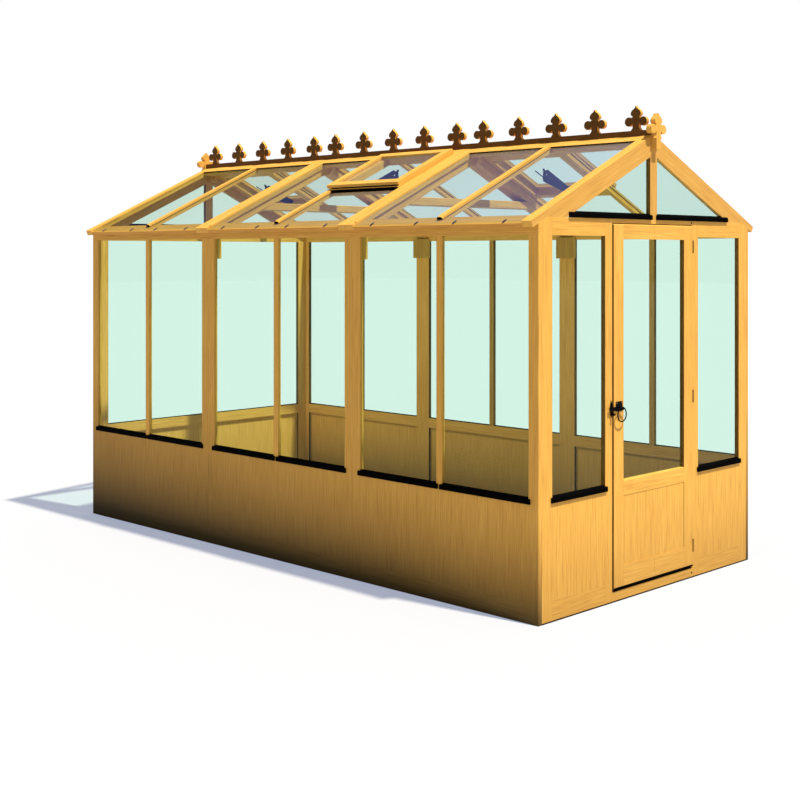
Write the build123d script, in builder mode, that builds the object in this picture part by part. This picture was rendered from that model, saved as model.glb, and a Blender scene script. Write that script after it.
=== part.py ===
"""Timber framed glass greenhouse: panelled lower walls, glazed gables and roof, one outward door.

Millimetres. The origin is on the ground at the middle of the footprint, +Z is up, the door gable
faces -Y and the ridge runs along Y.
"""

import math
import os

from build123d import *

# Overall sizes of the house
length = 3660
width = 1820
wall_height = 1809
roof_pitch = 24.9
bay_count = 3
joint_gap = 1

# Wall framing timber
frame_depth = 24
stile_width = 57
bar_width = 36
bar_depth = 20
bottom_rail_height = 95
mid_rail_bottom = 502
sill_bottom = 541
sill_height = 24
sill_projection = 9
sill_overlap = 11
sill_bevel = 4
sill_slope = 7
panel_thickness = 10
glass_thickness = 4
glass_setback = 12
top_rail_height = 52

# Joint blocks inside the long walls
block_width = 134
block_height = 129
block_lap = 15
block_thickness = 22

# Gable framing
corner_stile_width = 75
door_post_width = 56
gable_rail_rise = 31
gable_rafter_width = 60
king_post_width = 60
king_sill_gap = 40
peak_sill_inset = 12

# Doorway and door
doorway_width = 700
door_clearance = 5
threshold_height = 50
door_bottom_clearance = 12
door_head_height = 20
door_thickness = 25
door_proud = 6
door_bevel = 5
door_stile_width = 80
door_top_rail_height = 72
door_mid_rail_bottom = 505
door_mid_rail_height = 76
door_bottom_rail_height = 110
door_panel_thickness = 12
door_panel_setback = 2
door_seam_width = 1.2
door_seam_depth = 1.5
stop_thickness = 12
stop_width = 30
stop_lap = 12

# Butt hinges of the door
hinge_inset = 107
hinge_height = 66
hinge_pin_radius = 1.4
hinge_barrel_radius = 3
hinge_leaf_thickness = 1.5
hinge_leaf_width = 22
hinge_play = 0.3

# Ring latch
latch_height = 930
latch_spindle_inset = 41
latch_plate_width = 53
latch_plate_height = 47
latch_plate_thickness = 3
latch_plate_rise = 9
latch_plate_corner = 4
spindle_radius = 9
spindle_length = 25
ring_radius = 34
ring_wire_radius = 3
ring_standoff = 19
ring_lift = 5
latch_bar_height = 18
latch_bar_thickness = 6
latch_bar_reach = 38
latch_play = 1
keep_height = 80
keep_width = 20
keep_inset = 10
keep_thickness = 3
shelf_width = 13
shelf_height = 10
shelf_depth = 22
shelf_drop = 12

# Roof panels
roof_thickness = 32
eave_overhang = 39
roof_stile_width = 57
ridge_rail_width = 65
eave_rail_width = 92
roof_rail_thickness = 20
roof_bar_width = 30
roof_bar_web = 10
roof_cap_width = 36
roof_cap_height = 12
roof_cap_stop = 75
roof_glass_stop = 16

# Roof vents
vent_length = 490
curb_width = 30
curb_height = 42
sash_rail_width = 46
sash_thickness = 22
sash_setback = 10
seat_gap = 0.3
stay_length = 260
stay_height = 77
stay_thickness = 4
stay_clearance = 1
stay_foot_height = 38
stay_foot_width = 30
stay_lug_radius = 7
stay_lug_step = 33
stay_lug_drop = 16
stay_nose = 15
stay_chamfer = 14
stay_hole_radius = 5
stay_hole_inset = 37
stay_hole_drop = 29
stay_rod_radius = 3
stay_rod_bite = 1
stay_rod_drop = 59
stay_rod_reach = 67
stay_rod_hold = 40

# Ridge cresting and finials
crest_thickness = 20
crest_strip_height = 24
finial_count = 5
finial_edge = 100
finial_height = 125
finial_lobe_radius = 23
finial_lobe_offset = 43
finial_lobe_height = 46
finial_notch_height = 36
finial_stem_width = 38
finial_base_width = 60
finial_base_height = 14
finial_tip_width = 61
finial_waist_height = 74
end_finial_drop = 46
end_finial_leg = 54
end_finial_thickness = 30
ridge_block_length = 150
ridge_block_height = 62
ridge_block_thickness = 24
ridge_block_round = 40
ridge_end_block_length = 75

# Places worked out from the sizes above
half_width = width / 2
half_length = length / 2
bay = length / bay_count
pitch = math.radians(roof_pitch)
rise = math.tan(pitch)
inner_half_width = half_width - frame_depth
apex = wall_height + half_width * rise
window_top = wall_height - top_rail_height
gable_rail_top = wall_height + gable_rail_rise
block_top = window_top + block_lap
sill_top = sill_bottom + sill_height
bay_centres = [(index - (bay_count - 1) / 2) * bay for index in range(bay_count)]
joint_centres = [(index - bay_count / 2) * bay for index in range(1, bay_count)]
panel_half = (bay - joint_gap) / 2
side_signs = (-1, 1)
eave_slope = (half_width + eave_overhang) / math.cos(pitch)


def block(low, high, mode=Mode.ADD):
    """Add one box between two opposite corners to the part being built."""
    size = [top - bottom for bottom, top in zip(low, high)]
    centre = [(top + bottom) / 2 for bottom, top in zip(low, high)]
    with Locations(tuple(centre)):
        Box(*size, mode=mode)


def side_block(side, depth_from, depth_to, y_from, y_to, z_from, z_to, mode=Mode.ADD):
    """Add a box to a long wall, with its depth measured inwards from the wall's outer face."""
    x_from = side * (half_width - depth_from)
    x_to = side * (half_width - depth_to)
    block((min(x_from, x_to), y_from, z_from), (max(x_from, x_to), y_to, z_to), mode)


def gable_block(end, depth_from, depth_to, x_from, x_to, z_from, z_to, mode=Mode.ADD):
    """Add a box to a gable, with its depth measured inwards from the gable's outer face."""
    y_from = end * (half_length - depth_from)
    y_to = end * (half_length - depth_to)
    block((x_from, min(y_from, y_to), z_from), (x_to, max(y_from, y_to), z_to), mode)


def gable_plate(end, depth_from, depth_to, outline, mode=Mode.ADD):
    """Add a plate of the given XZ outline to a gable, or cut one out."""
    near = end * (half_length - depth_from)
    far = end * (half_length - depth_to)
    with BuildSketch(Plane((0, max(near, far), 0), x_dir=(1, 0, 0), z_dir=(0, -1, 0))) as plate:
        Polygon(*outline, align=None)
    extrude(plate.sketch, amount=abs(far - near), mode=mode)


def save_piece(builder, name):
    """Label a finished piece and write its file."""
    builder.part.label = name
    export_step(builder.part, f"parts/{name}.step")


os.makedirs("parts", exist_ok=True)

# Long walls: three framed panels a side, stiles full height, rails between them
panel_inner_half = panel_half - stile_width
glass_back = glass_setback + glass_thickness
bar_half = bar_width / 2
for side, wall in zip(side_signs, ("left", "right")):
    with BuildPart() as wall_posts:
        for centre in bay_centres:
            for turn in side_signs:
                inner = centre + turn * panel_inner_half
                outer = centre + turn * panel_half
                side_block(side, 0, frame_depth, min(inner, outer), max(inner, outer), 0, window_top)
    save_piece(wall_posts, f"{wall}_wall_posts")

    with BuildPart() as wall_rails:
        for centre in bay_centres:
            start = centre - panel_inner_half
            stop = centre + panel_inner_half
            side_block(side, 0, frame_depth, start, stop, 0, bottom_rail_height)
            side_block(side, 0, frame_depth, start, stop, mid_rail_bottom, sill_top)
            side_block(side, 0, panel_thickness, start, stop, mid_rail_bottom, sill_bottom, Mode.SUBTRACT)
        with BuildSketch(Plane.XZ):
            outer_x = side * half_width
            inner_x = side * inner_half_width
            inner_top = wall_height + frame_depth * rise
            Polygon((outer_x, window_top), (outer_x, wall_height), (inner_x, inner_top),
                    (inner_x, window_top), align=None)
        extrude(amount=half_length - joint_gap / 2, both=True)
        for joint in joint_centres:
            side_block(side, 0, frame_depth, joint - joint_gap / 2, joint + joint_gap / 2,
                       window_top, inner_top, Mode.SUBTRACT)
    save_piece(wall_rails, f"{wall}_wall_rails")

    with BuildPart() as wall_panels:
        for centre in bay_centres:
            side_block(side, 0, panel_thickness, centre - panel_inner_half, centre + panel_inner_half,
                       bottom_rail_height, sill_bottom)
    save_piece(wall_panels, f"{wall}_wall_panels")

    with BuildPart() as wall_glass:
        for centre in bay_centres:
            for turn in side_signs:
                near = centre + turn * bar_half
                far = centre + turn * panel_inner_half
                side_block(side, glass_setback, glass_back, min(near, far), max(near, far),
                           sill_top, window_top)
    save_piece(wall_glass, f"{wall}_wall_glass")

with BuildPart() as side_wall_bars:
    for side in side_signs:
        for centre in bay_centres:
            side_block(side, 0, bar_depth, centre - bar_half, centre + bar_half, sill_top, window_top)
save_piece(side_wall_bars, "side_wall_bars")

sill_nose_outline = [
    (-sill_projection, sill_bottom),
    (0, sill_bottom),
    (0, sill_top),
    (sill_bevel - sill_projection, sill_top),
    (-sill_projection, sill_top - sill_bevel),
]
sill_slope_outline = [
    (sill_bevel - sill_projection, sill_top),
    (glass_setback, sill_top),
    (glass_setback, sill_top + sill_slope),
]


def sill_strip(corner, inward, along, outline, run):
    """Carry a sill's outline, its depth inwards and its height, along a window."""
    with BuildSketch(Plane(corner, x_dir=inward, z_dir=along)) as strip:
        Polygon(*outline, align=None)
    extrude(strip.sketch, amount=run)


def side_sill(side, start, stop):
    """Add one sill to a long wall: a nose with a horn past each post, and a slope up to the glass."""
    inner = start if side > 0 else stop
    sill_strip((side * half_width, inner - side * sill_overlap, 0), (-side, 0, 0), (0, side, 0),
               sill_nose_outline, stop - start + 2 * sill_overlap)
    sill_strip((side * half_width, inner, 0), (-side, 0, 0), (0, side, 0),
               sill_slope_outline, stop - start)


with BuildPart() as side_wall_sills:
    for side in side_signs:
        for centre in bay_centres:
            for turn in side_signs:
                near = centre + turn * bar_half
                far = centre + turn * panel_inner_half
                side_sill(side, min(near, far), max(near, far))
save_piece(side_wall_sills, "side_wall_sills")

with BuildPart() as wall_joint_blocks:
    for side in side_signs:
        for joint in joint_centres:
            side_block(side, frame_depth, frame_depth + block_thickness, joint - block_width / 2,
                       joint + block_width / 2, block_top - block_height, block_top)
save_piece(wall_joint_blocks, "wall_joint_blocks")

# Gables stand between the long walls
corner_inner = inner_half_width - corner_stile_width
doorway_half = doorway_width / 2
door_post_outer = doorway_half + door_post_width
door_head_bottom = gable_rail_top - door_head_height
door_top = door_head_bottom - door_clearance
stop_back = frame_depth + stop_thickness
stop_top = door_head_bottom - stop_lap + stop_width
rafter_drop = gable_rafter_width / math.cos(pitch)
rafter_foot = (apex - gable_rail_top) / rise
rafter_heel = (apex - rafter_drop - gable_rail_top) / rise
king_half = king_post_width / 2
king_shoulder = apex - rafter_drop - king_half * rise
corner_outline = [
    (corner_inner, 0),
    (inner_half_width, 0),
    (inner_half_width, apex - inner_half_width * rise),
    (rafter_foot, gable_rail_top),
    (corner_inner, gable_rail_top),
]
rafter_outline = [
    (joint_gap / 2, apex - rafter_drop - joint_gap / 2 * rise),
    (rafter_heel, gable_rail_top),
    (rafter_foot, gable_rail_top),
    (joint_gap / 2, apex - joint_gap / 2 * rise),
]
king_outline = [
    (-king_half, gable_rail_top),
    (king_half, gable_rail_top),
    (king_half, king_shoulder),
    (0, apex - rafter_drop),
    (-king_half, king_shoulder),
]
peak_pane_outline = [
    (king_half, gable_rail_top),
    (rafter_heel, gable_rail_top),
    (king_half, king_shoulder),
]


def mirrored(outline):
    """Return an XZ outline reflected in the middle plane, still turning the same way."""
    return [(-x, z) for x, z in reversed(outline)]


def low_rails(end, start, stop):
    """Add the bottom rail and the rebated middle rail of one gable panel."""
    gable_block(end, 0, frame_depth, start, stop, 0, bottom_rail_height)
    gable_block(end, 0, frame_depth, start, stop, mid_rail_bottom, sill_top)
    gable_block(end, 0, panel_thickness, start, stop, mid_rail_bottom, sill_bottom, Mode.SUBTRACT)


def gable_spans(inner):
    """Return the left and right spans between an inner post face and the corner stiles."""
    return [(-corner_inner, -inner), (inner, corner_inner)]


back_post_half = stile_width / 2
gable_inner_faces = {-1: door_post_outer, 1: back_post_half}

with BuildPart() as front_posts:
    for start, stop in ((-door_post_outer, -doorway_half), (doorway_half, door_post_outer)):
        gable_block(-1, 0, frame_depth, start, stop, 0, gable_rail_top)
    for turn in side_signs:
        lap = turn * (doorway_half - stop_lap)
        edge = turn * (doorway_half - stop_lap + stop_width)
        gable_block(-1, frame_depth, stop_back, min(lap, edge), max(lap, edge), threshold_height, stop_top)
    gable_plate(-1, 0, frame_depth, corner_outline)
    gable_plate(-1, 0, frame_depth, mirrored(corner_outline))
save_piece(front_posts, "front_posts")

with BuildPart() as front_rails:
    for start, stop in gable_spans(door_post_outer):
        low_rails(-1, start, stop)
        gable_block(-1, 0, frame_depth, start, stop, window_top, gable_rail_top)
    gable_block(-1, 0, frame_depth, -doorway_half, doorway_half, 0, threshold_height)
    gable_block(-1, 0, frame_depth, -doorway_half, doorway_half, door_head_bottom, gable_rail_top)
    gable_block(-1, frame_depth, stop_back, stop_lap - doorway_half, doorway_half - stop_lap,
                door_head_bottom - stop_lap, stop_top)
save_piece(front_rails, "front_rails")

with BuildPart() as back_posts:
    gable_block(1, 0, frame_depth, -back_post_half, back_post_half, 0, window_top)
    gable_plate(1, 0, frame_depth, corner_outline)
    gable_plate(1, 0, frame_depth, mirrored(corner_outline))
save_piece(back_posts, "back_posts")

with BuildPart() as back_rails:
    for start, stop in gable_spans(back_post_half):
        low_rails(1, start, stop)
    gable_block(1, 0, frame_depth, -corner_inner, corner_inner, window_top, gable_rail_top)
save_piece(back_rails, "back_rails")

for end, gable in zip(side_signs, ("front", "back")):
    spans = gable_spans(gable_inner_faces[end])
    with BuildPart() as gable_panels:
        for start, stop in spans:
            gable_block(end, 0, panel_thickness, start, stop, bottom_rail_height, sill_bottom)
    save_piece(gable_panels, f"{gable}_panels")

    with BuildPart() as gable_glass:
        for start, stop in spans:
            gable_block(end, glass_setback, glass_back, start, stop, sill_top, window_top)
        gable_plate(end, glass_setback, glass_back, peak_pane_outline)
        gable_plate(end, glass_setback, glass_back, mirrored(peak_pane_outline))
    save_piece(gable_glass, f"{gable}_glass")

with BuildPart() as gable_rafters:
    for end in side_signs:
        gable_plate(end, 0, frame_depth, rafter_outline)
        gable_plate(end, 0, frame_depth, mirrored(rafter_outline))
save_piece(gable_rafters, "gable_rafters")

with BuildPart() as king_posts:
    for end in side_signs:
        gable_plate(end, 0, frame_depth, king_outline)
save_piece(king_posts, "king_posts")


def gable_sill(end, start, stop, base, horns):
    """Add one sill to a gable, with its nose carried past the window by a horn at each end."""
    inner = stop if end > 0 else start
    first, last = horns
    reach = last if end > 0 else first
    sill_strip((inner + end * reach, end * half_length, base), (0, -end, 0), (-end, 0, 0),
               sill_nose_outline, stop - start + first + last)
    sill_strip((inner, end * half_length, base), (0, -end, 0), (-end, 0, 0),
               sill_slope_outline, stop - start)


peak_rise = gable_rail_top - sill_bottom
peak_sill_stop = rafter_heel - peak_sill_inset
peak_horn = king_half - king_sill_gap / 2

with BuildPart() as gable_sills:
    for end in side_signs:
        gable_sill(end, king_half, peak_sill_stop, peak_rise, (peak_horn, 0))
        gable_sill(end, -peak_sill_stop, -king_half, peak_rise, (0, peak_horn))
        for outline in (rafter_outline, mirrored(rafter_outline)):
            gable_plate(end, 0, glass_setback, outline, Mode.SUBTRACT)
        for start, stop in gable_spans(gable_inner_faces[end]):
            gable_sill(end, start, stop, 0, (sill_overlap, sill_overlap))
save_piece(gable_sills, "gable_sills")

# Door, standing a little proud of the gable
door_half = doorway_half - door_clearance
door_face = -half_length - door_proud
door_back = door_face + door_thickness
door_bottom = threshold_height + door_bottom_clearance
door_inner_half = door_half - door_stile_width
door_mid_rail_top = door_mid_rail_bottom + door_mid_rail_height
door_glass_top = door_top - door_top_rail_height
door_panel_face = door_face + door_panel_setback
door_glass_face = door_face + (door_thickness - glass_thickness) / 2


def door_bevels(builder, heights):
    """Bevel the outer edges of the door timbers whose tops lie at the given heights."""
    for height in heights:
        edges = builder.edges().filter_by(Axis.X).filter_by_position(Axis.Z, height, height)
        chamfer(edges.group_by(Axis.Y)[0], door_bevel)


with BuildPart() as door_stiles:
    for turn in side_signs:
        inner = turn * door_inner_half
        outer = turn * door_half
        block((min(inner, outer), door_face, door_bottom), (max(inner, outer), door_back, door_top))
    door_bevels(door_stiles, (door_top,))
save_piece(door_stiles, "door_stiles")

with BuildPart() as door_rails:
    for low, high in (
        (door_bottom, door_bottom + door_bottom_rail_height),
        (door_mid_rail_bottom, door_mid_rail_top),
        (door_glass_top, door_top),
    ):
        block((-door_inner_half, door_face, low), (door_inner_half, door_back, high))
    door_bevels(door_rails, (door_mid_rail_top, door_top))
    for low, high in ((door_bottom, door_bottom + door_bottom_rail_height), (door_glass_top, door_top)):
        block((-door_seam_width / 2, door_face, low),
              (door_seam_width / 2, door_face + door_seam_depth, high), Mode.SUBTRACT)
save_piece(door_rails, "door_rails")

with BuildPart() as door_panel:
    block((-door_inner_half, door_panel_face, door_bottom + door_bottom_rail_height),
          (door_inner_half, door_panel_face + door_panel_thickness, door_mid_rail_bottom))
save_piece(door_panel, "door_panel")

with BuildPart() as door_glass:
    block((-door_inner_half, door_glass_face, door_mid_rail_top),
          (door_inner_half, door_glass_face + glass_thickness, door_glass_top))
save_piece(door_glass, "door_glass")

# Butt hinges: the frame leaf has the outer barrels and the pin, the door leaf the middle barrel
hinge_x = doorway_half - door_clearance / 2
hinge_y = door_face - hinge_barrel_radius
knuckle_height = (hinge_height - 2 * hinge_play) / 3
leaf_start = door_face + hinge_play
leaf_stop = hinge_y + hinge_leaf_width
low_hinge = door_bottom + hinge_inset
high_hinge = door_top - hinge_inset
hinge_centres = [low_hinge, (low_hinge + high_hinge) / 2, high_hinge]

with BuildPart() as hinge_frame_leaves:
    for centre in hinge_centres:
        low = centre - hinge_height / 2
        high = centre + hinge_height / 2
        with Locations((hinge_x, hinge_y, centre)):
            Cylinder(hinge_pin_radius, hinge_height)
        for middle in (low + knuckle_height / 2, high - knuckle_height / 2):
            with Locations((hinge_x, hinge_y, middle)):
                Cylinder(hinge_barrel_radius, knuckle_height)
            block((doorway_half - hinge_leaf_thickness, hinge_y, middle - knuckle_height / 2),
                  (doorway_half, leaf_stop, middle + knuckle_height / 2))
        block((doorway_half - hinge_leaf_thickness, leaf_start, low), (doorway_half, leaf_stop, high))
save_piece(hinge_frame_leaves, "hinge_frame_leaves")

with BuildPart() as hinge_door_leaves:
    for centre in hinge_centres:
        low = centre - knuckle_height / 2
        high = centre + knuckle_height / 2
        block((door_half, hinge_y, low), (door_half + hinge_leaf_thickness, leaf_stop, high))
        block((door_half, leaf_start, centre - hinge_height / 2),
              (door_half + hinge_leaf_thickness, leaf_stop, centre + hinge_height / 2))
        with Locations((hinge_x, hinge_y, centre)):
            Cylinder(hinge_barrel_radius, knuckle_height)
            Cylinder(hinge_pin_radius + hinge_play, hinge_height, mode=Mode.SUBTRACT)
save_piece(hinge_door_leaves, "hinge_door_leaves")

# Ring latch: plate on the door, ring and bar on a spindle, keep on the door post
spindle_x = -door_half + latch_spindle_inset
plate_face = door_face - latch_plate_thickness
bar_back = plate_face - latch_play
bar_face = bar_back - latch_bar_thickness
bar_end = -doorway_half - latch_bar_reach
ring_centre_z = latch_height - ring_radius + ring_lift
latch_face = Plane((spindle_x, door_face, latch_height), x_dir=(1, 0, 0), z_dir=(0, -1, 0))

with BuildPart() as latch_plate:
    with BuildSketch(latch_face):
        with Locations((0, latch_plate_rise)):
            RectangleRounded(latch_plate_width, latch_plate_height, latch_plate_corner)
        Circle(spindle_radius + latch_play / 2, mode=Mode.SUBTRACT)
    extrude(amount=latch_plate_thickness)
save_piece(latch_plate, "latch_plate")

with BuildPart() as latch_handle:
    with BuildSketch(latch_face):
        Circle(spindle_radius)
    extrude(amount=spindle_length)
    block((bar_end, bar_face, latch_height - latch_bar_height / 2),
          (spindle_x, bar_back, latch_height + latch_bar_height / 2))
    with Locations(Plane((spindle_x, door_face - ring_standoff, ring_centre_z), z_dir=(0, -1, 0))):
        Torus(ring_radius, ring_wire_radius)
save_piece(latch_handle, "latch_handle")

with BuildPart() as latch_keep:
    keep_x = -doorway_half - keep_inset
    keep_half = keep_height / 2
    with BuildSketch(Plane((keep_x, -half_length, latch_height), x_dir=(1, 0, 0), z_dir=(0, -1, 0))):
        with BuildLine():
            ThreePointArc((0, -keep_half), (keep_width / 2, 0), (0, keep_half))
            ThreePointArc((0, keep_half), (-keep_width / 2, 0), (0, -keep_half))
        make_face()
    extrude(amount=keep_thickness)
    shelf_top = latch_height - latch_bar_height / 2 - shelf_drop
    block((keep_x - shelf_width / 2, -half_length - shelf_depth, shelf_top - shelf_height),
          (keep_x + shelf_width / 2, -half_length, shelf_top))
save_piece(latch_keep, "latch_keep")

# Roof panels lie in a frame of their own: x down the slope, y along the eave, z out of the roof
slope_planes = {
    side: Plane((0, 0, apex), x_dir=(side * math.cos(pitch), 0, -math.sin(pitch)),
                z_dir=(side * math.sin(pitch), 0, math.cos(pitch)))
    for side in side_signs
}
ridge_half = crest_thickness / 2 + seat_gap
ridge_top = apex + roof_thickness / math.cos(pitch)
ridge_start = -roof_thickness * rise
pane_half = panel_half - roof_stile_width
eave_rail_start = eave_slope - eave_rail_width
glass_low = roof_rail_thickness
glass_high = roof_rail_thickness + glass_thickness
cap_top = glass_high + roof_cap_height
cap_stop = eave_slope - roof_cap_stop
web_half = roof_bar_web / 2
cap_half = roof_cap_width / 2
vent_start = ridge_rail_width
vent_stop = vent_start + vent_length
vent_bays = {-1: bay_centres[1:2], 1: [bay_centres[0], bay_centres[-1]]}


def slope_block(start, stop, y_from, y_to, low, high, mode=Mode.ADD):
    """Add a box to a roof slope: down the slope, along the eave and out of the roof."""
    block((start, min(y_from, y_to), low), (stop, max(y_from, y_to), high), mode)


def ridge_cut(side):
    """Cut the upper ends of a slope's timbers plumb, to leave a slot for the cresting."""
    edges = (-side * half_width, side * ridge_half)
    block((min(edges), -length, 0), (max(edges), length, ridge_top), Mode.SUBTRACT)


for side, slope in zip(side_signs, ("left", "right")):
    with BuildPart() as roof_rafters:
        with Locations(slope_planes[side]):
            for centre in bay_centres:
                for turn in side_signs:
                    slope_block(ridge_start, eave_slope, centre + turn * pane_half,
                                centre + turn * panel_half, 0, roof_thickness)
        ridge_cut(side)
    save_piece(roof_rafters, f"{slope}_roof_rafters")

    with BuildPart() as roof_rails:
        with Locations(slope_planes[side]):
            for centre in bay_centres:
                slope_block(ridge_start, ridge_rail_width, centre - pane_half, centre + pane_half,
                            0, roof_thickness)
                slope_block(eave_rail_start, eave_slope, centre - pane_half, centre + pane_half,
                            0, roof_rail_thickness)
        ridge_cut(side)
    save_piece(roof_rails, f"{slope}_roof_rails")

    with BuildPart() as roof_glass:
        with Locations(slope_planes[side]):
            for centre in bay_centres:
                for turn in side_signs:
                    vented = turn == 1 and centre in vent_bays[side]
                    start = vent_stop if vented else ridge_rail_width
                    slope_block(start, eave_slope - roof_glass_stop, centre + turn * web_half,
                                centre + turn * pane_half, glass_low, glass_high)
    save_piece(roof_glass, f"{slope}_roof_glass")

    with BuildPart() as roof_bars:
        with Locations(slope_planes[side]):
            for centre in bay_centres:
                slope_block(ridge_rail_width, eave_rail_start, centre - roof_bar_width / 2,
                            centre + roof_bar_width / 2, 0, glass_low)
                slope_block(ridge_rail_width, cap_stop, centre - web_half, centre + web_half,
                            glass_low, glass_high)
                slope_block(ridge_rail_width, cap_stop, centre - cap_half, centre + cap_half,
                            glass_high, cap_top)
    save_piece(roof_bars, f"{slope}_roof_bars")

# Roof vents: a curb between bar and rafter, and a shut sash over it
curb_low = cap_half
sash_low = curb_height + seat_gap
sash_glass_low = sash_low + (sash_thickness - glass_thickness) / 2
vent_places = [(side, centre) for side in side_signs for centre in vent_bays[side]]

with BuildPart() as vent_curbs:
    for side, centre in vent_places:
        with Locations(slope_planes[side]):
            slope_block(vent_start, vent_stop, centre + curb_low, centre + pane_half, 0, curb_height)
            slope_block(vent_start + curb_width, vent_stop - curb_width, centre + curb_low + curb_width,
                        centre + pane_half - curb_width, 0, curb_height, Mode.SUBTRACT)
save_piece(vent_curbs, "roof_vent_curbs")

with BuildPart() as vent_sashes:
    for side, centre in vent_places:
        with Locations(slope_planes[side]):
            slope_block(vent_start, vent_stop - sash_setback, centre - cap_half, centre + pane_half,
                        sash_low, sash_low + sash_thickness)
            slope_block(vent_start + sash_rail_width, vent_stop - sash_setback - sash_rail_width,
                        centre - cap_half + sash_rail_width, centre + pane_half - sash_rail_width,
                        sash_low, sash_low + sash_thickness, Mode.SUBTRACT)
save_piece(vent_sashes, "roof_vent_sashes")

with BuildPart() as vent_glass:
    for side, centre in vent_places:
        with Locations(slope_planes[side]):
            slope_block(vent_start + sash_rail_width, vent_stop - sash_setback - sash_rail_width,
                        centre - cap_half + sash_rail_width, centre + pane_half - sash_rail_width,
                        sash_glass_low, sash_glass_low + glass_thickness)
save_piece(vent_glass, "roof_vent_glass")

# A vent's stay: a plate on edge with two lugs at its tip, a foot on the curb and a rod at its side
stay_foot = vent_stop - curb_width
stay_tip = stay_foot - stay_length
stay_top = curb_height - stay_clearance
stay_bottom = stay_top - stay_height
tip_lug = (stay_tip, stay_top - stay_lug_drop)
top_lug = (stay_tip + stay_lug_step, stay_top - stay_lug_radius)
stay_outline = [
    (stay_foot, stay_top),
    (stay_tip + stay_lug_step, stay_top),
    top_lug,
    tip_lug,
    (stay_tip + stay_nose, stay_bottom + stay_chamfer),
    (stay_tip + stay_nose + stay_chamfer, stay_bottom),
    (stay_foot, stay_top - stay_foot_height),
]
rod_middle = stay_tip + (stay_rod_hold - stay_rod_reach) / 2
rod_side = -(stay_thickness / 2 + stay_rod_radius - stay_rod_bite)

with BuildPart() as stay:
    with BuildSketch(Plane.XZ):
        Polygon(*stay_outline, align=None)
        with Locations(tip_lug, top_lug):
            Circle(stay_lug_radius)
        with Locations((stay_tip + stay_hole_inset, stay_top - stay_hole_drop)):
            Circle(stay_hole_radius, mode=Mode.SUBTRACT)
    extrude(amount=stay_thickness / 2, both=True)
    block((stay_foot - stay_thickness, -stay_foot_width / 2, stay_top - stay_foot_height),
          (stay_foot, stay_foot_width / 2, stay_top))
    with BuildSketch(Plane.YZ.offset(rod_middle)):
        with Locations((rod_side, stay_top - stay_rod_drop)):
            Circle(stay_rod_radius)
    extrude(amount=(stay_rod_reach + stay_rod_hold) / 2, both=True)

with BuildPart() as vent_stays:
    for side, centre in vent_places:
        with Locations(slope_planes[side]):
            with Locations((0, centre + (curb_low + pane_half) / 2, 0)):
                add(stay.part)
save_piece(vent_stays, "roof_vent_stays")

# Ridge cresting: a ridge board in three lengths, each with a row of trefoil finials
crest_bottom = apex + seat_gap
crest_top = ridge_top + crest_strip_height
tip_width_shares = [0.79, 0.95, 1, 0.82, 0.475, 0.23, 0.12, 0]
tip_height_shares = [0, 0.12, 0.255, 0.49, 0.67, 0.77, 0.87, 1]
tip_points = [
    (wide * finial_tip_width / 2, finial_waist_height + high * (finial_height - finial_waist_height))
    for wide, high in zip(tip_width_shares, tip_height_shares)
]
finial_pitch = (bay - 2 * finial_edge) / (finial_count - 1)

with BuildSketch() as finial:
    with BuildLine():
        Line((0, finial_waist_height), tip_points[0])
        Spline(*tip_points)
        Line(tip_points[-1], (0, finial_waist_height))
    make_face()
    mirror(about=Plane.YZ)
    with Locations((-finial_lobe_offset, finial_lobe_height), (finial_lobe_offset, finial_lobe_height)):
        Circle(finial_lobe_radius)
    with Locations((0, finial_waist_height / 2)):
        Rectangle(finial_stem_width, finial_waist_height)
    with Locations((0, (finial_notch_height + finial_lobe_height + finial_lobe_radius) / 2)):
        Rectangle(tip_points[0][0] * 2, finial_lobe_height + finial_lobe_radius - finial_notch_height)
    with Locations((0, (finial_notch_height + finial_lobe_height) / 2)):
        Rectangle(2 * finial_lobe_offset, finial_lobe_height - finial_notch_height)
    Polygon((-finial_base_width / 2, 0), (finial_base_width / 2, 0),
            (finial_stem_width / 2, finial_base_height),
            (-finial_stem_width / 2, finial_base_height), align=None)

with BuildPart() as ridge_cresting:
    with BuildSketch(Plane.YZ.offset(-crest_thickness / 2)):
        for centre in bay_centres:
            with Locations((centre, (crest_bottom + crest_top) / 2)):
                Rectangle(2 * panel_half, crest_top - crest_bottom)
            first = centre - (finial_count - 1) / 2 * finial_pitch
            places = [first + index * finial_pitch for index in range(finial_count)]
            with Locations(*[(place, crest_top) for place in places]):
                add(finial.sketch)
    extrude(amount=crest_thickness)
save_piece(ridge_cresting, "ridge_cresting")

with BuildPart() as end_finials:
    base = crest_top - end_finial_drop
    for start in (-half_length, half_length + end_finial_thickness):
        with BuildSketch(Plane((0, start, base), x_dir=(1, 0, 0), z_dir=(0, -1, 0))):
            add(finial.sketch)
            with Locations((0, -end_finial_leg / 2)):
                Rectangle(finial_stem_width, end_finial_leg)
        extrude(amount=end_finial_thickness)
save_piece(end_finials, "end_finials")

with BuildPart() as ridge_blocks:
    block_ceiling = apex - ridge_block_thickness / 2 * rise - seat_gap
    with BuildSketch(Plane.YZ.offset(-ridge_block_thickness / 2)) as joint_plates:
        with Locations(*[(joint, block_ceiling - ridge_block_height / 2) for joint in joint_centres]):
            Rectangle(ridge_block_length, ridge_block_height)
        fillet(joint_plates.vertices().group_by(Axis.Y)[0], ridge_block_round)
    extrude(amount=ridge_block_thickness)
    for end in side_signs:
        gable_face = end * (half_length - frame_depth)
        inner_face = gable_face - end * ridge_end_block_length
        block((-ridge_block_thickness / 2, min(gable_face, inner_face), block_ceiling - ridge_block_height),
              (ridge_block_thickness / 2, max(gable_face, inner_face), block_ceiling))
save_piece(ridge_blocks, "ridge_blocks")
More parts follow.
